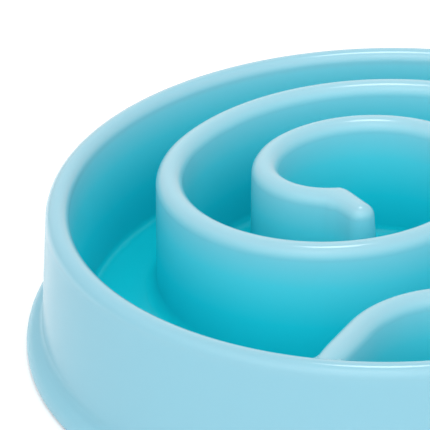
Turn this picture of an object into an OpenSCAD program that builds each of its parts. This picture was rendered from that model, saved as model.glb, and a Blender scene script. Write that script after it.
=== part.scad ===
// Slow feeder bowl: one moulded shell with a hollow spiral ridge, standing on push-in rubber feet.
// Lengths are in millimetres. The ground is z = 0 and the bowl's axis is x = y = 0.

/* [Bowl] */
// Height of the rim above the ground
bowl_h = 63.5; // [60:0.5:70]
// Outside diameter at the rim, where the skirt begins
rim_d = 275; // [272:1:300]
// Width of the rounded rim
rim_w = 9.6; // [8.4:0.1:12]
// Wall of the skirt, the rim and the inner wall
wall_t = 2.5; // [2:0.1:3]
// Lean of the skirt, outwards as it goes down
skirt_lean = 5.4; // [4:0.1:7]
// Lean of the inner wall, inwards as it goes down
wall_lean = 4; // [2:0.1:5]
// Height of the food floor above the ground
floor_h = 10.5; // [9.5:0.1:12]
// Thickness of the food floor
floor_t = 2.5; // [2:0.1:3]
// Radius between the food floor and the inner wall
floor_fillet_r = 3; // [2:0.5:5]

/* [Foot flare] */
// Radius of the rounded flare round the foot of the skirt
flare_r = 8; // [7:0.5:9]
// How far the flare stands out past the skirt's line at its widest level
flare_reach = 6.2; // [5:0.1:7.4]
// Height of the flare's widest level above its lower edge
flare_rise = 1.4; // [0.5:0.1:2.5]
// Radius between the skirt and the flare
flare_fillet_r = 4; // [2.5:0.5:6]
// Gap between the flare's lower edge and the ground
ground_gap = 1.2; // [0.6:0.1:2]

/* [Ridge] */
// Width of the ridge at its rounded top
ridge_w = 11.2; // [9.4:0.1:12]
// Depth of the ridge's top below the rim
ridge_drop = 0.4; // [0.2:0.1:6]
// Draft of the ridge's sides
ridge_draft = 2.5; // [1:0.1:3]
// Wall of the hollow ridge
ridge_t = 2.4; // [2:0.1:3]
// Radius between the ridge and the food floor
ridge_fillet_r = 5; // [3:0.5:6]

/* [Spiral] */
// Distance of the outer turn's centre behind the bowl's axis
spiral_shift = 9.5; // [5:0.5:11]
// Centreline radius of the outer turn
turn_a_r = 91.6; // [88:0.2:93]
// Centreline radius of the second stretch, round the front
turn_b_r = 64.9; // [63:0.1:66]
// Centreline radius of the third stretch, round the back
turn_c_r = 46.6; // [45:0.1:48]
// Centreline radius of the fourth stretch
turn_d_r = 36.3; // [35:0.1:38]
// Centreline radius of the innermost stretch
turn_e_r = 26.5; // [25:0.1:28]
// Radius left inside the bend that turns the ridge's end outwards, at the foot of the ridge
hook_gap = 0.6; // [0.3:0.1:2]
// Length of the straight hook that ends the ridge
hook_len = 8; // [5:0.5:10]
// Centreline radius of the bend from the outer turn to the front wall
tail_bend_r = 40.2; // [38:0.2:42]

/* [Feet] */
// Diameter of a rubber foot
foot_d = 12; // [9:0.5:13]
// Height of a rubber foot without its stem
foot_h = 4.4; // [3.6:0.1:5]
// Radius round a foot's lower edge
foot_edge_r = 1.2; // [0.6:0.1:1.6]
// Diameter of a foot's stem
stem_d = 4; // [3:0.1:5]
// Length of a foot's stem
stem_len = 3; // [2:0.1:3.5]
// Wall of the moulded cup round a foot
cup_t = 1.5; // [1.2:0.1:2]
// Gap between a cup's lower edge and the ground
cup_gap = 1.5; // [1:0.1:2.2]
// Gap between a cup and the foot of the inner wall
cup_inset = 1; // [0.5:0.1:3]
// Gap round a foot and its stem
foot_play = 0.1; // [0.05:0.05:0.2]

/* [Hidden] */
$fn = 96;

// Overrun of a cut past the face that it opens
cut_over = 1;
// Depth that a ridge's foot radius sinks into the floor, so that the two cross
fillet_sink = 0.1;
// How far a ridge's flat sides pass inside its round top
side_inset = 0.05;
// Difference in section between neighbouring stretches of the ridge, and the angle by which they lap
joint_step = 0.05;
joint_lap = 1;
// Overrun of the hook past the centre of its round end
end_over = 0.2;

// Angles round each stretch's own centre at which the next stretch takes over
turn_ends = [155, 355.6, 139, 176, 267];
turn_radii = [turn_a_r, turn_b_r, turn_c_r, turn_d_r, turn_e_r];
turn_count = len(turn_radii);
// Angle at which the bend to the front wall leaves the outer turn
tail_leave = -78.6;
// Angle that the bend turns through
tail_bend = 52;
// Angle that the hook turns outwards by
hook_bend = 53;
foot_count = 6;
foot_step = 360 / foot_count;

rim_r = rim_d / 2;
crown_r = rim_w / 2;
crown_x = rim_r - crown_r;
crown_z = bowl_h - crown_r;
floor_under = floor_h - floor_t;
flare_z = ground_gap + flare_rise;
ridge_top = bowl_h - ridge_drop;
ridge_r = ridge_w / 2;
ridge_z = ridge_top - ridge_r;
ridge_low = floor_h - floor_t / 2;
foot_r = foot_d / 2;
cup_r = foot_r + foot_play + cup_t;

// Surfaces of the skirt and of the inner wall at height z, each set in by t
function skirt_x(z, t = 0) = crown_x + (crown_r - t) / cos(skirt_lean) + (crown_z - z) * tan(skirt_lean);
function inner_x(z, t = 0) = crown_x - (crown_r - t) / cos(wall_lean) - (crown_z - z) * tan(wall_lean);
// Half width of the ridge at height z, set in by t. Its sides start just inside the round top, to cross it
function ridge_half(z, t = 0) =
    (ridge_r - t) / cos(ridge_draft) - side_inset + (ridge_z - z) * tan(ridge_draft);

function polar(r, a) = [r * cos(a), r * sin(a)];
// Centre of each stretch: moved from the last one by the difference of radii, so that they stay tangent
function turn_centre(i) = i == 0
    ? [0, spiral_shift]
    : turn_centre(i - 1) + polar(turn_radii[i - 1] - turn_radii[i], turn_ends[i - 1]);
function turn_start(i) = i == 0
    ? tail_leave
    : turn_ends[i - 1] - (turn_ends[i - 1] > turn_ends[i] ? 360 : 0);

foot_ring_r = inner_x(floor_under) - cup_inset - cup_r;
// Half width of the ridge at its foot, with the foot radius
ridge_foot = ridge_half(floor_h + ridge_fillet_r - fillet_sink) + ridge_fillet_r / cos(ridge_draft);
hook_r = ridge_foot + hook_gap;
hook_open = turn_ends[turn_count - 1] - 180;
hook_centre = turn_centre(turn_count - 1) + polar(turn_e_r + hook_r, hook_open + 180);
hook_at = hook_centre + polar(hook_r, hook_open - hook_bend);
hook_way = hook_open - hook_bend - 90;
hook_end = hook_at + polar(hook_len, hook_way);
tail_centre = turn_centre(0) + polar(turn_a_r + tail_bend_r, tail_leave);
tail_open = tail_leave + 180;
tail_at = tail_centre + polar(tail_bend_r, tail_open + tail_bend);
tail_head = tail_open + tail_bend + 90;
tail_way = [cos(tail_head), sin(tail_head)];
// Run of the straight tail from its start to radius r
function tail_run(r) = -tail_at * tail_way + sqrt((tail_at * tail_way) ^ 2 - tail_at * tail_at + r * r);

// The rim's outline with the skirt and inner wall below it, all set in by t
module wall_outline(t, low) {
    r = crown_r - t;
    translate([crown_x, crown_z]) circle(r = r);
    polygon([
        [crown_x - r * cos(wall_lean), crown_z + r * sin(wall_lean)],
        [inner_x(low, t), low],
        [skirt_x(low, t), low],
        [crown_x + r * cos(skirt_lean), crown_z + r * sin(skirt_lean)]
    ]);
}

// Rounded flare at the skirt's foot, with the hollow radius that leads into it
module flare_outline() {
    bead_x = skirt_x(flare_z) + flare_reach - flare_r;
    reach = flare_r + flare_fillet_r;
    lead = flare_fillet_r / cos(skirt_lean);
    // Height where the skirt's offset line is one reach from the bead's centre
    slope = tan(skirt_lean);
    gap = skirt_x(flare_z) + lead - bead_x;
    a = 1 + slope * slope;
    b = -gap * slope;
    c = gap * gap - reach * reach;
    up = (-b + sqrt(b * b - a * c)) / a;
    fillet = [skirt_x(flare_z + up) + lead, flare_z + up];
    bead = [bead_x, flare_z];
    difference() {
        polygon([
            bead,
            bead + (fillet - bead) * flare_r / reach,
            fillet,
            fillet - flare_fillet_r * [cos(skirt_lean), sin(skirt_lean)]
        ]);
        translate(fillet) circle(r = flare_fillet_r);
    }
    intersection() {
        translate(bead) circle(r = flare_r);
        translate([bead_x, ground_gap]) square([flare_r, flare_r + flare_rise]);
    }
}

// Hollow under the flare, one wall thickness inside it
module flare_hollow() {
    bead_x = skirt_x(flare_z) + flare_reach - flare_r;
    translate([bead_x, flare_z]) circle(r = flare_r - wall_t);
    translate([bead_x, ground_gap - cut_over]) square([flare_r - wall_t, flare_rise + cut_over]);
}

// Radius between the floor and the inner wall
module floor_fillet() {
    r = floor_fillet_r;
    at = [inner_x(floor_h + r) - r / cos(wall_lean), floor_h + r];
    touch = at + r * [cos(wall_lean), -sin(wall_lean)];
    difference() {
        polygon([at, [at[0], ridge_low], [inner_x(ridge_low, wall_t / 2), ridge_low],
            [touch[0] + wall_t / 2, touch[1]], touch]);
        translate(at) circle(r = r);
    }
}

// Section of the bowl from its axis to the flare
module bowl_section() {
    difference() {
        union() {
            wall_outline(0, ground_gap);
            flare_outline();
        }
        wall_outline(wall_t, ground_gap - cut_over);
        flare_hollow();
        // Below the floor nothing of the inner wall is left
        translate([inner_x(ground_gap) - cut_over, ground_gap - cut_over])
            square([crown_x - inner_x(ground_gap) + cut_over, floor_under - ground_gap + cut_over]);
    }
    translate([0, floor_under]) square([inner_x(floor_under, wall_t / 2), floor_t]);
    floor_fillet();
}

// What a round top of radius r leaves of the corners above ridge_z
module top_corners(r) {
    difference() {
        translate([-r - cut_over, ridge_z]) square([2 * (r + cut_over), r + 2 * cut_over]);
        translate([0, ridge_z]) circle(r = r);
    }
}

// Section of the ridge with its foot radii, set in by t; x = 0 is the centreline
module ridge_section(t = 0) {
    r = ridge_fillet_r + t;
    low = ridge_low + t;
    crest = ridge_top + cut_over;
    at = [ridge_foot, floor_h + ridge_fillet_r - fillet_sink];
    touch = at - r * [cos(ridge_draft), sin(ridge_draft)];
    difference() {
        polygon([
            [-ridge_half(crest, t), crest],
            [ridge_half(crest, t), crest],
            touch,
            at,
            [at[0], low],
            [-at[0], low],
            [-at[0], at[1]],
            [-touch[0], touch[1]]
        ]);
        top_corners(ridge_r - t);
        translate(at) circle(r = r);
        translate([-at[0], at[1]]) circle(r = r);
    }
}

// Section of the hollow inside the ridge, open below the floor, set in by t
module hollow_section(t = 0) {
    inset = ridge_t + t;
    low = floor_under - cut_over;
    crest = ridge_top - ridge_t + cut_over;
    difference() {
        polygon([
            [-ridge_half(crest, inset), crest],
            [ridge_half(crest, inset), crest],
            [ridge_half(low, inset), low],
            [-ridge_half(low, inset), low]
        ]);
        top_corners(ridge_r - inset);
    }
}

// The child section carried round an arc of radius r
module carry_arc(centre, r, from, to) {
    translate(centre) rotate([0, 0, from])
        rotate_extrude(angle = to - from) translate([r, 0]) children();
}

// The child section carried along a straight line
module carry_line(start, heading, run) {
    translate([start[0], start[1], ridge_top]) rotate([90, 0, heading + 90])
        linear_extrude(height = run) translate([0, -ridge_top]) children();
}

// Round end of the child section: its right half turned about a point
module round_end(at, heading) {
    translate(at) rotate([0, 0, heading]) rotate_extrude() intersection() {
        children();
        square([ridge_top, ridge_top]);
    }
}

// The whole spiral but its straight tail. The second child is the first one set in by joint_step:
// every other stretch takes it, and laps into its neighbours, so that no two surfaces only touch
module spiral() {
    for (i = [0:turn_count - 1]) {
        lap = i % 2 * joint_lap;
        carry_arc(turn_centre(i), turn_radii[i], turn_start(i) - lap, turn_ends[i] + lap) children(i % 2);
    }
    carry_arc(hook_centre, hook_r, hook_open - hook_bend - joint_lap, hook_open + joint_lap) children(1);
    carry_line(hook_at, hook_way, hook_len + end_over) children(0);
    round_end(hook_end, hook_way) children(1);
    carry_arc(tail_centre, tail_bend_r, tail_open - joint_lap, tail_open + tail_bend + joint_lap)
        children(1);
}

// Straight tail into the inner wall
module tail() {
    carry_line(tail_at, tail_head, tail_run(inner_x(ridge_z, wall_t))) ridge_section();
}

// Its hollow, which opens into the hollow of the rim
module tail_hollow() {
    carry_line(tail_at, tail_head, tail_run(crown_x)) hollow_section();
}

// Cup under the floor that a rubber foot pushes into
module foot_cup() {
    translate([0, 0, cup_gap]) cylinder(r = cup_r, h = ridge_low - cup_gap);
}

module foot_cut() {
    cylinder(r = foot_r + foot_play, h = foot_h);
    cylinder(r = stem_d / 2 + foot_play, h = foot_h + stem_len + foot_play);
}

module at_foot(i) {
    rotate([0, 0, i * foot_step]) translate([foot_ring_r, 0, 0]) children();
}

module bowl_shell() {
    color("#8fcfdf") difference() {
        union() {
            rotate_extrude() bowl_section();
            spiral() {
                ridge_section();
                ridge_section(joint_step);
            }
            tail();
            for (i = [0:foot_count - 1]) at_foot(i) foot_cup();
        }
        spiral() {
            hollow_section();
            hollow_section(joint_step);
        }
        tail_hollow();
        for (i = [0:foot_count - 1]) at_foot(i) foot_cut();
    }
}

// Rubber foot: a pad with a rounded lower edge and a stem
module foot(i) {
    color("#59666b") at_foot(i) {
        rotate_extrude() union() {
            translate([foot_r - foot_edge_r, foot_edge_r]) circle(r = foot_edge_r);
            square([foot_r - foot_edge_r, foot_h]);
            translate([0, foot_edge_r]) square([foot_r, foot_h - foot_edge_r]);
        }
        cylinder(d = stem_d, h = foot_h + stem_len);
    }
}

module foot_right() { foot(0); }
module foot_back_right() { foot(1); }
module foot_back_left() { foot(2); }
module foot_left() { foot(3); }
module foot_front_left() { foot(4); }
module foot_front_right() { foot(5); }

bowl_shell();
foot_right();
foot_back_right();
foot_back_left();
foot_left();
foot_front_left();
foot_front_right();
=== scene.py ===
# Slow feeder bowl: one aqua moulding with a hollow spiral ridge, on rubber feet, for Blender 4.5
import math

import bmesh
import bpy
import numpy as np
from mathutils import Matrix
from mathutils.geometry import delaunay_2d_cdt


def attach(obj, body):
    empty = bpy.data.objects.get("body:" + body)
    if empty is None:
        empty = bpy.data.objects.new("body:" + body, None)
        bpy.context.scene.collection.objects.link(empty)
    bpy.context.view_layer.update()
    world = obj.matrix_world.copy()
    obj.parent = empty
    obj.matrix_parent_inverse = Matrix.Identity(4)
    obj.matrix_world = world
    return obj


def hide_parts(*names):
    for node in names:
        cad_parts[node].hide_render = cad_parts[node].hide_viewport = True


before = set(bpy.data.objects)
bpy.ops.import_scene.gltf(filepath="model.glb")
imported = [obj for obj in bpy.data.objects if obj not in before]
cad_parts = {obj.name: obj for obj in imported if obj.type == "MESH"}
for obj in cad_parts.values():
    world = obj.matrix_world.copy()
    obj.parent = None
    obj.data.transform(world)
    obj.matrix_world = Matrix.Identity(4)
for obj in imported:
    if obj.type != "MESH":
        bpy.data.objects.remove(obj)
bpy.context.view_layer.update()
mm = 0.001  # shapes are worked out in millimetres and stored in metres
lap = 0.05  # how far the moulding's pieces run into each other
weldDistance = 2e-6  # metres: points closer than this are one
leastStep = 1e-6  # shorter steps along a line count as none

bowl = {
    "height": 63.5,
    "rimDiameter": 275.0,
    "rimWidth": 9.6,
    "wall": 2.5,
    "skirtLean": 5.4,  # degrees, outwards going down
    "wallLean": 4.0,  # degrees, inwards going down
    "floorHeight": 10.5,
    "floorThickness": 2.5,
    "floorFillet": 3.0,
    "floorReach": 1.0,  # how far the floor runs into the wall
    "steps": 288,  # stations round the bowl, without the close ones by the ridge's end
    "floorSteps": 240,  # points round the floor's edge
    # Rows of the wall's section: fillet, inner wall, rim, skirt, then the rim and the sides inside
    "filletSteps": 8,
    "innerSteps": 12,
    "rimSteps": 24,
    "skirtSteps": 14,
    "hiddenRimSteps": 14,
    "hiddenSideSteps": 6,
}
crownRadius = bowl["rimWidth"] / 2
crownX = bowl["rimDiameter"] / 2 - crownRadius
crownZ = bowl["height"] - crownRadius
floorTop = bowl["floorHeight"]
floorUnder = floorTop - bowl["floorThickness"]
slabMiddle = floorTop - bowl["floorThickness"] / 2


def skirtX(z, inset=0.0):
    # The skirt is tangent to the rim: x = rim's centre + radius / cos(lean) + depth * tan(lean)
    lean = math.radians(bowl["skirtLean"])
    return crownX + (crownRadius - inset) / math.cos(lean) + (crownZ - z) * math.tan(lean)


def innerX(z, inset=0.0):  # the inner wall, tangent on the other side: both terms are taken away
    lean = math.radians(bowl["wallLean"])
    return crownX - (crownRadius - inset) / math.cos(lean) - (crownZ - z) * math.tan(lean)


def arc(centre, radius, start, end, count):  # centre + radius * (cos, sin), angles in degrees
    angles = np.radians(np.linspace(start, end, count))
    return np.column_stack((centre[0] + radius * np.cos(angles), centre[1] + radius * np.sin(angles)))


def line(start, end, count):  # start * (1 - share) + end * share, without end itself
    share = np.linspace(0, 1, count + 1)[:-1, None]
    return np.asarray(start) * (1 - share) + np.asarray(end) * share


def meshPiece(name, points, faces, material, sharpAngle=40.0):
    # A closed piece of the bowl from points in millimetres: doubles merged, gaps closed, faces outwards
    mesh = bpy.data.meshes.new(name)
    mesh.from_pydata((np.asarray(points) * mm).tolist(), [], faces)
    work = bmesh.new()
    work.from_mesh(mesh)
    bmesh.ops.remove_doubles(work, verts=work.verts, dist=weldDistance)
    openEdges = [edge for edge in work.edges if edge.is_boundary]
    if openEdges:
        bmesh.ops.holes_fill(work, edges=openEdges, sides=0)
    bmesh.ops.recalc_face_normals(work, faces=work.faces)
    stillOpen = sum(1 for edge in work.edges if not edge.is_manifold)
    work.to_mesh(mesh)
    work.free()
    mesh.polygons.foreach_set("use_smooth", np.ones(len(mesh.polygons), dtype=bool))
    mesh.set_sharp_from_angle(angle=math.radians(sharpAngle))
    mesh.materials.append(material)
    piece = bpy.data.objects.new(name, mesh)
    bpy.context.scene.collection.objects.link(piece)
    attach(piece, "root")
    print(name, "has", len(mesh.polygons), "faces and", stillOpen, "open edges")
    return piece


def gridFaces(rows, columns, closeRows=False, closeColumns=False):  # quads between neighbours of a grid
    rowIndex = np.arange(rows if closeRows else rows - 1)[:, None]
    columnIndex = np.arange(columns if closeColumns else columns - 1)[None, :]
    nextRow = (rowIndex + 1) % rows
    nextColumn = (columnIndex + 1) % columns
    corners = (
        rowIndex * columns + columnIndex,
        rowIndex * columns + nextColumn,
        nextRow * columns + nextColumn,
        nextRow * columns + columnIndex,
    )
    return np.stack([corner.ravel() for corner in corners], axis=1).tolist()


class Wire:
    # One output socket; a sum, product or power of it adds a Math node
    def __init__(self, graph, socket):
        self.graph = graph
        self.socket = socket

    def join(self, operation, first, second):
        return self.graph.node("ShaderNodeMath", {"operation": operation}, {0: first, 1: second})

    def __add__(self, other):
        return self.join("ADD", self, other)

    def __sub__(self, other):
        return self.join("SUBTRACT", self, other)

    def __rsub__(self, other):
        return self.join("SUBTRACT", other, self)

    def __mul__(self, other):
        return self.join("MULTIPLY", self, other)

    def __pow__(self, other):
        return self.join("POWER", self, other)

    __radd__ = __add__
    __rmul__ = __mul__


class Graph:
    # A node tree; node() adds any node, with its settings first and then its sockets
    def __init__(self, tree):
        self.tree = tree
        self.tree.nodes.clear()

    def node(self, kind, settings=None, sockets=None, output=0):
        made = self.tree.nodes.new(kind)
        for key, value in (settings or {}).items():
            if key == "stops":
                ramp = made.color_ramp
                while len(ramp.elements) < len(value):
                    ramp.elements.new(0.5)
                for element, (place, colour) in zip(ramp.elements, value):
                    element.position = place
                    element.color = colour
            else:
                setattr(made, key, value)
        for key, value in (sockets or {}).items():
            if isinstance(value, Wire):
                self.tree.links.new(value.socket, made.inputs[key])
            else:
                made.inputs[key].default_value = value
        return Wire(self, made.outputs[output]) if len(made.outputs) else None


def newMaterial(name):
    material = bpy.data.materials.new(name)
    material.use_nodes = True
    return material, Graph(material.node_tree)


def linear(red, green, blue):  # an sRGB colour from 0 to 255 as Blender's linear colour
    values = [channel / 255 for channel in (red, green, blue)]
    values = [c / 12.92 if c <= 0.04045 else ((c + 0.055) / 1.055) ** 2.4 for c in values]
    return (*values, 1.0)


def addGrain(graph, look):
    # Fine noise on Object coordinates, and the normal that its height gives
    place = graph.node("ShaderNodeTexCoord", output=3)
    noise = {"Vector": place, "Scale": look["grainScale"], "Detail": look["grainDetail"]}
    grain = graph.node("ShaderNodeTexNoise", {}, noise)
    height = grain * look["grainDepth"]
    normal = graph.node("ShaderNodeBump", {}, {"Strength": 1.0, "Distance": 1.0, "Height": height})
    return place, grain, normal


def addSurface(graph, sockets):  # a material's one shader and its output
    shader = graph.node("ShaderNodeBsdfPrincipled", {}, sockets)
    graph.node("ShaderNodeOutputMaterial", {}, {0: shader})


plasticLook = {
    "colour": (134, 186, 202),  # skirt and rim
    # Inside the bowl, the plastic's aqua with painted shade, by share of the rim's height: a deeper, more
    # saturated cyan lower down, and a duller crest to tone down its light
    "paintedShadeColours": (
        (0.16, (10, 196, 210)),
        (0.45, (32, 207, 222)),
        (0.72, (82, 211, 226)),
        (0.90, (122, 207, 222)),
        (0.98, (143, 191, 205)),
    ),
    "rimChange": 0.5,  # the skirt's colour is reached this far outside the rim's middle
    "driftScale": 9.0,  # slow drift of shade and roughness over the moulding, per metre
    "driftDetail": 1.0,
    "driftShade": 0.04,
    "roughness": 0.21,
    "roughnessDrift": 0.04,
    "grainScale": 900.0,  # the fine sheen of a polished mould
    "grainDetail": 2.0,
    "grainDepth": 0.000012,
    "ior": 1.5,
    "sheen": 0.15,
    "coat": (0.90, 1.0),  # the polish grows between these shares of the rim's height
    "coatRoughness": 0.16,
    "bleed": 0.1,  # light that spreads inside the plastic, and how far, in metres
    "bleedReach": 0.003,
    "bleedColours": (0.6, 1.0, 1.0),
}


def makePlastic():
    # Colour = the aqua with painted shade for the depth inside the bowl, the skirt's colour outside, times
    # the slow drift
    material, graph = newMaterial("aquaPlastic")
    place, _, normal = addGrain(graph, plasticLook)
    noise = {"Vector": place, "Scale": plasticLook["driftScale"], "Detail": plasticLook["driftDetail"]}
    drift = graph.node("ShaderNodeTexNoise", {}, noise)
    height = graph.node("ShaderNodeSeparateXYZ", {}, {0: place}, output=2) * (1 / mm / bowl["height"])
    flat = graph.node("ShaderNodeVectorMath", {"operation": "MULTIPLY"}, {0: place, 1: (1 / mm, 1 / mm, 0)})
    radius = graph.node("ShaderNodeVectorMath", {"operation": "LENGTH"}, {0: flat}, output=1)
    # The painted shade is used inside the rim; outside it the skirt has its own colour
    rimSide = crownX + plasticLook["rimChange"]
    outside = graph.node("ShaderNodeMapRange", {}, {0: radius, 1: innerX(crownZ), 2: rimSide, 3: 0.0, 4: 1.0})
    # Painted shade: a ramp of colours by height, deep cyan low down and duller at the crest
    stops = [(share, linear(*colour)) for share, colour in plasticLook["paintedShadeColours"]]
    inner = graph.node("ShaderNodeValToRGB", {"stops": stops}, {0: height})
    colour = graph.node(
        "ShaderNodeMix",
        {"data_type": "RGBA"},
        {0: outside, 6: inner, 7: linear(*plasticLook["colour"])},
        output=2,
    )
    shade = graph.node(
        "ShaderNodeVectorMath",
        {"operation": "SCALE"},
        {0: colour, "Scale": drift * plasticLook["driftShade"] + (1 - plasticLook["driftShade"] / 2)},
    )
    roughnessDrift = plasticLook["roughnessDrift"]
    roughness = drift * roughnessDrift + (plasticLook["roughness"] - roughnessDrift / 2)
    low, high = plasticLook["coat"]
    gloss = graph.node("ShaderNodeMapRange", {}, {0: height, 1: low, 2: high, 3: 0.0, 4: 1.0})
    surface = {
        "Base Color": shade,
        "Roughness": roughness,
        "Normal": normal,
        "IOR": plasticLook["ior"],
        "Specular IOR Level": plasticLook["sheen"],
        "Coat Weight": gloss,
        "Coat Roughness": plasticLook["coatRoughness"],
        "Subsurface Weight": plasticLook["bleed"],
        "Subsurface Radius": plasticLook["bleedColours"],
        "Subsurface Scale": plasticLook["bleedReach"],
    }
    addSurface(graph, surface)
    return material


rubberLook = {
    "colour": (88, 98, 102),
    "shade": 0.3,  # how much the grain changes the colour
    "roughness": 0.75,
    "roughnessDrift": 0.1,
    "grainScale": 1400.0,
    "grainDetail": 3.0,
    "grainDepth": 0.00003,
    "ior": 1.5,
}


def makeRubber():
    material, graph = newMaterial("footRubber")
    _, grain, normal = addGrain(graph, rubberLook)
    shade, roughnessDrift = rubberLook["shade"], rubberLook["roughnessDrift"]
    colour = graph.node(
        "ShaderNodeVectorMath",
        {"operation": "SCALE"},
        {0: linear(*rubberLook["colour"])[:3], "Scale": grain * shade + (1 - shade / 2)},
    )
    roughness = grain * roughnessDrift + (rubberLook["roughness"] - roughnessDrift / 2)
    surface = {"Base Color": colour, "Roughness": roughness, "Normal": normal, "IOR": rubberLook["ior"]}
    addSurface(graph, surface)
    return material


plastic = makePlastic()
rubber = makeRubber()
print("materials are made")


ridge = {
    "width": 11.2,
    "drop": 0.4,  # depth of its top below the rim
    "draft": 2.5,
    "wall": 2.4,
    "fillet": 5.0,
    "shift": 9.5,  # the outer turn's centre lies this far behind the bowl's axis
    # The five arcs, outermost first: their radii, and the angles where they end
    "radii": [91.6, 64.9, 46.6, 36.3, 26.5],
    "ends": [155.0, 355.6, 139.0, 176.0, 267.0],
    "leave": -78.6,  # angle at which the bend to the front wall leaves the outer turn
    "tailRadius": 40.2,
    "tailBend": 52.0,
    "tailFall": 0.9,  # how far its top falls by the rim, and over what length
    "tailFallOver": 14.0,
    "tailReach": 30.0,  # straight run into the hollow of the rim
    "hookBend": 53.0,
    "hookGap": 0.6,  # from the bend's centre to the foot of the ridge
    "hookLength": 8.0,
    # The hook's corner on its back side: its softness, how far before the bend it starts, how much it
    # moves the surface at most, and the difference of the two ways at which the softness adds nothing
    "cornerRadius": 0.7,
    "cornerLead": 6.0,
    "cornerSwell": (-0.5, 6.0),
    "cornerLevel": 40.0,
    "hollowFill": 1.6,  # how far the bend's hollow side is filled out, and over what length to each side
    "hollowReach": 13.0,
    "swellFrom": 2.5,  # these changes grow over this distance from the crest's middle line
    "footFrom": 8.0,  # and the filling ends between these distances, before the foot
    "footTo": 12.0,
    "step": 2.2,  # distance between stations, at least three to an arc or a line
    "leastStations": 3,
    "endTurns": 29,  # stations round the hook's end, and round the floor's slot there
    "slotTurns": 13,
    # Rows of the half section: top, side, foot, then the hollow's side and top
    "crownSteps": 16,
    "sideSteps": 8,
    "footSteps": 12,
    "hollowSideSteps": 6,
    "hollowCrownSteps": 10,
    # Where the ridge meets the rim: the radius between them, how many of the rim's rows it takes in, how
    # far round it goes, and the close stations there and their margin, in degrees
    "junctionRadius": 4.0,
    "junctionRows": 4,
    "junctionReach": 30,
    "junctionSpan": (-13, 11),
    "junctionStep": 0.12,
    "junctionMargin": 0.3,
    "junctionPasses": 3,  # the gap is measured again this often, where the point has moved to
}
ridgeRadius = ridge["width"] / 2
ridgeTop = bowl["height"] - ridge["drop"]
draft = math.radians(ridge["draft"])


def ridgeHalf(z, crownCentre, inset=0.0):
    # Half width at height z: radius / cos(draft) + depth below the round top's centre * tan(draft)
    return (ridgeRadius - inset) / math.cos(draft) + (crownCentre - z) * math.tan(draft)


def polar(radius, angle):  # radius * (cos, sin), angle in degrees
    return radius * np.array([math.cos(math.radians(angle)), math.sin(math.radians(angle))])


def ridgePath():
    # Centreline from the rim to the hook: a straight run, a bend, five tangent arcs, a bend and a
    # straight run. next centre = centre + (radius - next radius) along the angle of the join. Returns
    # places, headings in degrees and the distance walked, as arrays, and the hook's corner
    footHalf = ridgeHalf(floorTop + ridge["fillet"], ridgeTop - ridgeRadius)
    footReach = footHalf + ridge["fillet"] / math.cos(draft)
    centre = np.array([0.0, ridge["shift"]])
    radii, ends = ridge["radii"], ridge["ends"]
    tailCentre = centre + polar(radii[0] + ridge["tailRadius"], ridge["leave"])
    tailOpen = ridge["leave"] + 180
    tailAt = tailCentre + polar(ridge["tailRadius"], tailOpen + ridge["tailBend"])
    tailWay = tailOpen + ridge["tailBend"] + 90
    places, headings = [], []

    def addArc(middle, radius, start, end):
        length = math.radians(abs(end - start)) * radius
        count = max(ridge["leastStations"], int(length / ridge["step"]) + 1)
        angles = np.linspace(start, end, count)
        places.append(arc(middle, radius, start, end, count))
        headings.append(angles + (90 if end > start else -90))

    def addLine(start, way, length):
        count = max(ridge["leastStations"], int(length / ridge["step"]) + 1)
        places.append(start + np.linspace(0, length, count)[:, None] * polar(1, way))
        headings.append(np.full(count, float(way)))

    addLine(tailAt + polar(ridge["tailReach"], tailWay), tailWay - 180, ridge["tailReach"])
    addArc(tailCentre, ridge["tailRadius"], tailOpen + ridge["tailBend"], tailOpen)
    start = ridge["leave"]
    for index, (radius, end) in enumerate(zip(radii, ends)):
        addArc(centre, radius, start, end)
        if index + 1 < len(radii):
            centre = centre + polar(radius - radii[index + 1], end)
            start = end if end < ends[index + 1] else end - 360
    hookRadius = footReach + ridge["hookGap"]
    hookCentre = centre + polar(radii[-1] + hookRadius, ends[-1])
    hookOpen = ends[-1] - 180
    addArc(hookCentre, hookRadius, hookOpen, hookOpen - ridge["hookBend"])
    hookAt = hookCentre + polar(hookRadius, hookOpen - ridge["hookBend"])
    addLine(hookAt, hookOpen - ridge["hookBend"] - 90, ridge["hookLength"])
    place = np.vstack(places)
    heading = np.concatenate(headings)
    keep = np.r_[True, np.linalg.norm(np.diff(place, axis=0), axis=1) > leastStep]
    place, heading = place[keep], heading[keep]
    walked = np.r_[0, np.cumsum(np.linalg.norm(np.diff(place, axis=0), axis=1))]
    bendLength = hookRadius * math.radians(ridge["hookBend"])
    bendEnd = walked[-1] - ridge["hookLength"]
    corner = {
        "centre": centre,
        "at": hookAt,
        "way": hookOpen - ridge["hookBend"] - 90,
        "from": bendEnd - bendLength - ridge["cornerLead"],
        "middle": bendEnd - bendLength / 2,
    }
    return place, heading, walked, corner


def smoothRise(share):  # 3 * share^2 - 2 * share^3, from 0 to 1 with level ends
    share = np.clip(share, 0, 1)
    return share * share * (3 - 2 * share)


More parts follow.
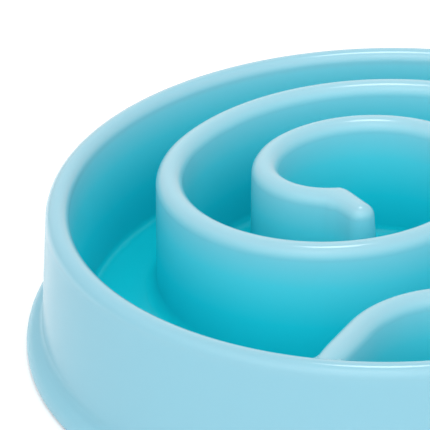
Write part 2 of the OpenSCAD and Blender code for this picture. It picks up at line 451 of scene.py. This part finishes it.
def cornerSwell(place, angle, walked, offset, corner):
    # On its back side the hook has a corner: there the innermost arc, radius minus offset, meets the
    # hook's own straight side. swell = soft minimum of the ways to both, along the outward normal, less
    # the offset
    far, leastFacing = 1e3, 0.2
    normal = np.column_stack((np.cos(angle), np.sin(angle)))
    toCentre = place - corner["centre"]
    along = np.sum(toCentre * normal, axis=1)[:, None]
    inside = along**2 - np.sum(toCentre**2, axis=1)[:, None] + (ridge["radii"][-1] - offset) ** 2
    toArc = np.where(inside > 0, -along - np.sqrt(np.clip(inside, 0, None)), far)
    side = polar(1, corner["way"] + 90)
    ahead = np.sum((place - corner["at"]) * side, axis=1)[:, None]
    facing = np.sum(normal * side, axis=1)[:, None]
    toSide = np.where(facing > leastFacing, (offset - ahead) / np.clip(facing, leastFacing, None), far)
    softness = ridge["cornerRadius"]
    apart = toArc - toSide
    way = (toArc + toSide - np.sqrt(apart**2 + 4 * softness**2)) / 2 + softness**2 / ridge["cornerLevel"]
    swell = (way - offset) * smoothRise(offset / ridge["swellFrom"])
    return np.where(walked[:, None] > corner["from"], np.clip(swell, *ridge["cornerSwell"]), 0)


def hollowSwell(walked, offset, corner):
    # The hook's front side turns in a wide hollow: it is filled out by the bend, but not at its foot.
    # swell = fill * smooth fall away from the bend's middle * share of the rows
    away = np.abs(walked - corner["middle"])[:, None] / ridge["hollowReach"]
    pastFoot = (offset - ridge["footFrom"]) / (ridge["footTo"] - ridge["footFrom"])
    rows = smoothRise(offset / ridge["swellFrom"]) * (1 - smoothRise(pastFoot))
    return ridge["hollowFill"] * (1 - smoothRise(away)) * rows


def halfProfile(crownCentre):
    # Half section of the ridge from its outer crest to its hollow's crest, for one height of its round
    # top: round top, drafted side, foot radius, lower edge inside the floor, hollow side and hollow's
    # round top. Returns it with the number of its outer rows
    side = ridge["draft"]
    radius, fillet, wall = ridgeRadius, ridge["fillet"], ridge["wall"]
    footZ = floorTop + fillet
    foot = np.array([ridgeHalf(footZ, crownCentre) + fillet / math.cos(draft), footZ])
    crown = arc((0, crownCentre), radius, 90, side, ridge["crownSteps"] + 1)
    footArc = arc(foot, fillet, 180 + side, 270, ridge["footSteps"] + 1)
    outerSide = line(crown[-1], footArc[0], ridge["sideSteps"])
    middle = ridgeHalf(floorTop, crownCentre, wall / 2)
    low = [
        (foot[0], slabMiddle),
        (middle + lap, slabMiddle),
        (middle + lap, floorUnder),
        (ridgeHalf(floorUnder, crownCentre, wall), floorUnder),
    ]
    hollow = arc((0, crownCentre), radius - wall, side, 90, ridge["hollowCrownSteps"] + 1)
    hollowSide = line(low[-1], hollow[0], ridge["hollowSideSteps"])
    outer = np.vstack((crown[:-1], outerSide, footArc))
    return np.vstack((outer, low[:-1], hollowSide, hollow)), len(outer)


def roundLoop(place, heading, crest, count):
    # Stations up one side of the centreline, round its end and back: place, outward angle and crest
    turns = np.linspace(-90, 90, count)[1:-1]
    loopPlace = np.vstack((place, np.repeat(place[-1:], len(turns), axis=0), place[::-1]))
    loopAngle = np.radians(np.concatenate((heading - 90, heading[-1] + turns, heading[::-1] + 90)))
    loopCrest = np.concatenate((crest, np.full(len(turns), crest[-1]), crest[::-1]))
    return loopPlace, loopAngle, loopCrest


def buildRidge():
    # The half section carried up one side of the centreline, round its end and back down the other side.
    # point = place + outward normal * (offset + swell), height from the half section at that place's crest
    place, heading, walked, corner = ridgePath()
    crest = ridgeTop - ridge["tailFall"] * smoothRise(1 - walked / ridge["tailFallOver"])
    loopPlace, loopAngle, loopCrest = roundLoop(place, heading, crest, ridge["endTurns"])
    lowering = 10.0  # any value does, because every point of the section moves in proportion
    high, outerRows = halfProfile(ridgeTop - ridgeRadius)
    low = halfProfile(ridgeTop - ridgeRadius - lowering)[0]
    share = (ridgeTop - loopCrest) / lowering
    section = high[None] * (1 - share)[:, None, None] + low[None] * share[:, None, None]
    offset = section[..., 0].copy()
    front, back = offset[: len(place), :outerRows], offset[-len(place) :, :outerRows]
    back += cornerSwell(place[::-1], loopAngle[-len(place) :], walked[::-1], back, corner)
    front += hollowSwell(walked, front, corner)
    normal = np.column_stack((np.cos(loopAngle), np.sin(loopAngle)))
    points = np.empty(section.shape[:2] + (3,))
    points[..., :2] = loopPlace[:, None, :] + normal[:, None, :] * offset[..., None]
    points[..., 2] = section[..., 1]
    faces = gridFaces(*points.shape[:2])
    return meshPiece("spiralRidge", points.reshape(-1, 3), faces, plastic), place, heading, crest


ridgePiece, ridgePlace, ridgeHeading, ridgeCrest = buildRidge()


flare = {
    "radius": 8.0,
    "reach": 6.2,
    "rise": 1.4,
    "fillet": 4.0,
    "groundGap": 1.2,
    "hollowTurn": 97.0,  # degrees round the hollow in it, just past its top
    "hollowRise": 1.0,  # from there up to the skirt's inside
    "filletSteps": 9,
    "beadSteps": 19,
    "hollowSteps": 11,
}
slabRadius = innerX(floorTop) + bowl["floorReach"]


def rimProfile():
    # Closed section of the wall ring, from the floor's edge over the rim and down the skirt, then back
    # inside: straight sides tangent to the arcs between them. Returns it with its rows below the rim
    wall, skirtLean, wallLean = bowl["wall"], bowl["skirtLean"], bowl["wallLean"]
    fillet = bowl["floorFillet"]
    lean = math.radians(wallLean)
    filletZ = floorTop + fillet
    filletX = innerX(filletZ) - fillet / math.cos(lean)
    floorArc = arc((filletX, filletZ), fillet, 270, 360 - wallLean, bowl["filletSteps"] + 1)
    crown = arc((crownX, crownZ), crownRadius, 180 - wallLean, skirtLean, bowl["rimSteps"] + 1)
    flareZ = flare["groundGap"] + flare["rise"]
    beadX = skirtX(flareZ) + flare["reach"] - flare["radius"]
    reach = flare["radius"] + flare["fillet"]
    # The fillet above the flare touches the skirt's line and the flare's circle: up solves that square
    lead = flare["fillet"] / math.cos(math.radians(skirtLean))
    slope = math.tan(math.radians(skirtLean))
    gap = skirtX(flareZ) + lead - beadX
    square = 1 + slope * slope
    up = (gap * slope + math.sqrt((gap * slope) ** 2 - square * (gap * gap - reach * reach))) / square
    leadAt = (skirtX(flareZ + up) + lead, flareZ + up)
    toBead = math.degrees(math.atan2(flareZ - leadAt[1], beadX - leadAt[0])) % 360
    leadArc = arc(leadAt, flare["fillet"], 180 + skirtLean, toBead, flare["filletSteps"] + 1)
    edge = math.degrees(math.asin(flare["rise"] / flare["radius"]))
    beadArc = arc((beadX, flareZ), flare["radius"], toBead - 180, -edge, flare["beadSteps"] + 1)
    inner = flare["radius"] - wall
    hollowArc = arc((beadX, flareZ), inner, 0, flare["hollowTurn"], flare["hollowSteps"] + 1)
    skirtFoot = hollowArc[-1][1] + flare["hollowRise"]
    crownIn = arc((crownX, crownZ), crownRadius - wall, skirtLean, 180 - wallLean, bowl["hiddenRimSteps"] + 1)
    wallFoot = (innerX(floorUnder, wall), floorUnder)
    sections = (
        floorArc[:-1],
        line(floorArc[-1], crown[0], bowl["innerSteps"]),
        crown[:-1],
        line(crown[-1], leadArc[0], bowl["skirtSteps"]),
        leadArc[:-1],
        beadArc,
        [(beadX + inner, flare["groundGap"])],
        hollowArc,
        line((skirtX(skirtFoot, wall), skirtFoot), crownIn[0], bowl["hiddenSideSteps"]),
        crownIn[:-1],
        line(crownIn[-1], wallFoot, bowl["hiddenSideSteps"]),
        [wallFoot, (slabRadius - lap, floorUnder)],
        [(slabRadius - lap, slabMiddle), (floorArc[0][0], slabMiddle)],
    )
    return np.vstack(sections), bowl["filletSteps"] + bowl["innerSteps"]


def buildRim():
    # The section turned about the bowl's axis. By the ridge's end the inner wall swells inwards into a
    # hollow radius k: swell = k - sqrt(k^2 - (k - gap)^2), gap being the distance to the ridge's surface
    section, innerRows = rimProfile()
    tailEnd = ridgePlace[0]
    middle = math.degrees(math.atan2(tailEnd[1], tailEnd[0])) % 360
    even = np.linspace(0, 360, bowl["steps"], endpoint=False)
    close = middle + np.arange(*ridge["junctionSpan"], ridge["junctionStep"])
    margin = ridge["junctionMargin"]
    far = even[(even < close[0] - margin) | (even > close[-1] + margin)]
    angles = np.radians(np.sort(np.concatenate((far, close))))
    radius = np.repeat(section[None, :, 0], len(angles), axis=0)
    height = np.repeat(section[None, :, 1], len(angles), axis=0)
    way = np.radians(ridgeHeading[0])
    along = np.array([math.cos(way), math.sin(way)])
    crownCentre = ridgeCrest[0] - ridgeRadius
    blend = ridge["junctionRadius"]
    across, up = np.cos(angles)[:, None], np.sin(angles)[:, None]
    for _ in range(ridge["junctionPasses"]):
        spot = np.stack((radius * across, radius * up), axis=-1) - tailEnd
        side = np.abs(spot @ np.array([-along[1], along[0]]))
        below = np.clip(crownCentre - height, 0, None)
        intoFoot = np.clip(floorTop + ridge["fillet"] - height, 0, ridge["fillet"])
        flareOut = ridge["fillet"] - np.sqrt(np.clip(ridge["fillet"] ** 2 - intoFoot**2, 0, None))
        lowGap = side - (ridgeRadius / math.cos(draft) + below * math.tan(draft) + flareOut)
        highGap = np.hypot(side, np.clip(height - crownCentre, 0, None)) - ridgeRadius
        gap = np.clip(np.where(height > crownCentre, highGap, lowGap), 0, blend)
        swell = blend - np.sqrt(np.clip(blend**2 - (blend - gap) ** 2, 0, None))
        swell[:, innerRows + ridge["junctionRows"] :] = 0
        near = np.abs((np.degrees(angles) - middle + 180) % 360 - 180) < ridge["junctionReach"]
        swell[~near] = 0
        radius = section[None, :, 0] - swell
    points = np.stack((radius * across, radius * up, height), axis=-1)
    faces = gridFaces(*points.shape[:2], closeRows=True, closeColumns=True)
    return meshPiece("rimAndSkirt", points.reshape(-1, 3), faces, plastic)


rimPiece = buildRim()


def buildFloor():
    # A flat slab: a disc whose outline turns in along one side of the ridge's hollow and back along the
    # other. outline = centreline + normal * half width of the hollow with half a wall
    place, angle, crest = roundLoop(ridgePlace, ridgeHeading, ridgeCrest, ridge["slotTurns"])
    half = ridgeHalf(floorTop, crest - ridgeRadius, ridge["wall"] / 2)
    slot = place + np.column_stack((np.cos(angle), np.sin(angle))) * half[:, None]
    inside = np.hypot(slot[:, 0], slot[:, 1]) < slabRadius
    first, last = np.argmax(inside), len(inside) - 1 - np.argmax(inside[::-1])

    def crossing(outer, inner):  # where the segment from outer to inner meets the slab's edge
        step = inner - outer
        a, b, c = step @ step, 2 * outer @ step, outer @ outer - slabRadius**2
        return outer + step * (-b - math.sqrt(b * b - 4 * a * c)) / (2 * a)

    enter, leave = crossing(slot[first - 1], slot[first]), crossing(slot[last + 1], slot[last])
    start, end = math.atan2(leave[1], leave[0]), math.atan2(enter[1], enter[0])
    enterSide = (end - start) % (2 * math.pi)
    way = 1 if enterSide > math.pi else -1  # the long way round the disc
    sweep = enterSide if way > 0 else enterSide - 2 * math.pi
    rim = start + np.linspace(0, sweep, bowl["floorSteps"] + 1)[1:-1]
    edge = np.column_stack((slabRadius * np.cos(rim), slabRadius * np.sin(rim)))
    outline = np.vstack((enter, slot[first : last + 1], leave, edge))
    count = len(outline)
    border = [(index, (index + 1) % count) for index in range(count)]
    flat, _, triangles, *_ = delaunay_2d_cdt([tuple(p) for p in outline], border, [], 1, leastStep)
    if len(flat) != count:
        print("food floor outline gained points:", len(flat) - count)
    flat = np.array([tuple(p) for p in flat])
    top = np.column_stack((flat, np.full(len(flat), floorTop)))
    under = np.column_stack((flat, np.full(len(flat), floorUnder)))
    shift = len(flat)
    faces = [list(t) for t in triangles] + [[i + shift for i in reversed(t)] for t in triangles]
    faces += [[a, b, b + shift, a + shift] for a, b in border]
    return meshPiece("foodFloor", np.vstack((top, under)), faces, plastic)


floorPiece = buildFloor()


foot = {
    "count": 6,
    "diameter": 12.0,
    "height": 4.4,
    "stem": 4.0,
    "stemLength": 3.0,
    "cupWall": 1.5,
    "cupGap": 1.5,  # the cup's lower edge above the ground
    "cupEdge": 0.3,  # its small chamfers
    "inset": 1.0,
    "play": 0.1,
    "overlap": 0.6,  # the cup's top inside the floor
    "sharpAngle": 35.0,  # degrees between faces that meet in an edge
    "steps": 48,
}


def buildCups():
    # Each cup's closed section turned about its foot's own axis, all of them in one piece
    inner, stem = foot["diameter"] / 2 + foot["play"], foot["stem"] / 2 + foot["play"]
    outer = inner + foot["cupWall"]
    ring = innerX(floorUnder) - foot["inset"] - outer
    seat, hole = foot["height"], foot["height"] + foot["stemLength"] + foot["play"]
    top, low, edge = floorUnder + foot["overlap"], foot["cupGap"], foot["cupEdge"]
    seatSide = [(0, hole), (stem, hole), (stem, seat), (inner, seat)]
    lowerEdge = [(inner, low + edge), (inner + edge, low), (outer - edge, low), (outer, low + edge)]
    section = np.array(seatSide + lowerEdge + [(outer, top), (0, top)])
    turn = np.linspace(0, 2 * math.pi, foot["steps"], endpoint=False)
    points, faces = [], []
    for number in range(foot["count"]):
        centre = polar(ring, 360 / foot["count"] * number)
        x = centre[0] + section[None, :, 0] * np.cos(turn)[:, None]
        y = centre[1] + section[None, :, 0] * np.sin(turn)[:, None]
        z = np.repeat(section[None, :, 1], len(turn), axis=0)
        shift = len(points) * len(turn) * len(section)
        faces += [[i + shift for i in face] for face in gridFaces(len(turn), len(section), closeRows=True)]
        points.append(np.stack((x, y, z), axis=-1).reshape(-1, 3))
    return meshPiece("footCups", np.vstack(points), faces, plastic, foot["sharpAngle"])


cupPiece = buildCups()
for piece in (rimPiece, ridgePiece, floorPiece, cupPiece):
    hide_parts("bowl_shell")

for name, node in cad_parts.items():
    if name.startswith("foot"):
        node.data.materials.clear()
        node.data.materials.append(rubber)
print("feet have their rubber")


studio = {  # in metres
    "floorColour": (247, 247, 248),
    "floorHalf": 6.0,
    "floorRoughness": 0.9,
    "floorGlow": 0.05,  # a little light of its own, as a white sweep lit from below has
    # Broad white lights of the sky: azimuth and elevation in degrees, strength, and how fast they fall
    "sky": [(265, 40, 2.3), (0, 20, 0.8), (90, 20, 0.88), (180, 20, 0.33), (135, 35, 0.35)],
    "skyFall": 6,
    "front": {"place": (-0.13, -0.74, 1.1), "aim": (0, 0, 0.03), "size": 0.5, "power": 0.5},
    "top": {"place": (0.0, 0.26, 1.3), "aim": (0, 0, 0.03), "size": 0.36, "power": 2.6},
}


def poseMatrix(right, up, back, place):  # an object's matrix, from its three axes and its place
    return Matrix([[right[i], up[i], back[i], place[i]] for i in range(3)] + [[0, 0, 0, 1]])


def buildStudio():
    # Strength of the sky = sum over its lights of power * ((1 + facing) / 2) ^ fall
    half = studio["floorHalf"]
    corners = [(-half, -half, 0), (half, -half, 0), (half, half, 0), (-half, half, 0)]
    mesh = bpy.data.meshes.new("studioFloor")
    mesh.from_pydata(corners, [], [(0, 1, 2, 3)])
    material, graph = newMaterial("paleFloor")
    surface = {
        "Base Color": linear(*studio["floorColour"]),
        "Roughness": studio["floorRoughness"],
        "Emission Color": (1, 1, 1, 1),
        "Emission Strength": studio["floorGlow"],
    }
    addSurface(graph, surface)
    mesh.materials.append(material)
    ground = bpy.data.objects.new("studioFloor", mesh)
    bpy.context.scene.collection.objects.link(ground)
    world = bpy.data.worlds.new("studioWorld")
    world.use_nodes = True
    sky = Graph(world.node_tree)
    way = sky.node("ShaderNodeTexCoord")
    strength = 0
    for azimuth, elevation, power in studio["sky"]:
        flat = polar(math.cos(math.radians(elevation)), azimuth)
        toward = (flat[0], flat[1], math.sin(math.radians(elevation)))
        facing = sky.node("ShaderNodeVectorMath", {"operation": "DOT_PRODUCT"}, {0: way, 1: toward}, output=1)
        share = (facing + 1) * 0.5
        strength = strength + share ** studio["skyFall"] * power
    background = sky.node("ShaderNodeBackground", {}, {0: (1, 1, 1, 1), 1: strength})
    sky.node("ShaderNodeOutputWorld", {}, {0: background})
    bpy.context.scene.world = world
    for name in ("front", "top"):
        setting = studio[name]
        light = bpy.data.lights.new(name + "Light", "AREA")
        light.shape = "DISK"
        light.size = setting["size"]
        light.energy = setting["power"]
        lamp = bpy.data.objects.new(name + "Light", light)
        place, aim = np.array(setting["place"]), np.array(setting["aim"])
        back = (place - aim) / np.linalg.norm(place - aim)
        right = np.cross((0, 1, 0), back)
        right /= np.linalg.norm(right)
        up = np.cross(back, right)
        lamp.matrix_world = poseMatrix(right, up, back, place)
        bpy.context.scene.collection.objects.link(lamp)


buildStudio()

camera = {  # fitted to the photograph, in millimetres and degrees
    "place": (0.0, -907.5, 548.5),
    "pitch": 28.6213,
    "yaw": -4.3746,
    "roll": -2.487,
    "lens": 213.7,
    "sensor": 36.0,
    "clip": (50.0, 20000.0),
}


def buildCamera():
    # Looks along (sin yaw * cos pitch, cos yaw * cos pitch, -sin pitch), turned about that by the roll
    pitch, yaw, roll = (math.radians(camera[key]) for key in ("pitch", "yaw", "roll"))
    forward = np.array([math.sin(yaw) * math.cos(pitch), math.cos(yaw) * math.cos(pitch), -math.sin(pitch)])
    level = np.array([math.cos(yaw), -math.sin(yaw), 0])
    rise = np.cross(level, forward)
    right = math.cos(roll) * level + math.sin(roll) * rise
    up = -math.sin(roll) * level + math.cos(roll) * rise
    place = np.array(camera["place"]) * mm
    data = bpy.data.cameras.new("photoCamera")
    data.lens = camera["lens"]
    data.sensor_width = camera["sensor"]
    data.clip_start, data.clip_end = (distance * mm for distance in camera["clip"])
    view = bpy.data.objects.new("photoCamera", data)
    view.matrix_world = poseMatrix(right, up, -forward, place)
    bpy.context.scene.collection.objects.link(view)
    bpy.context.scene.camera = view


buildCamera()
bpy.context.scene.view_settings.view_transform = "Standard"
print("studio and camera are set")
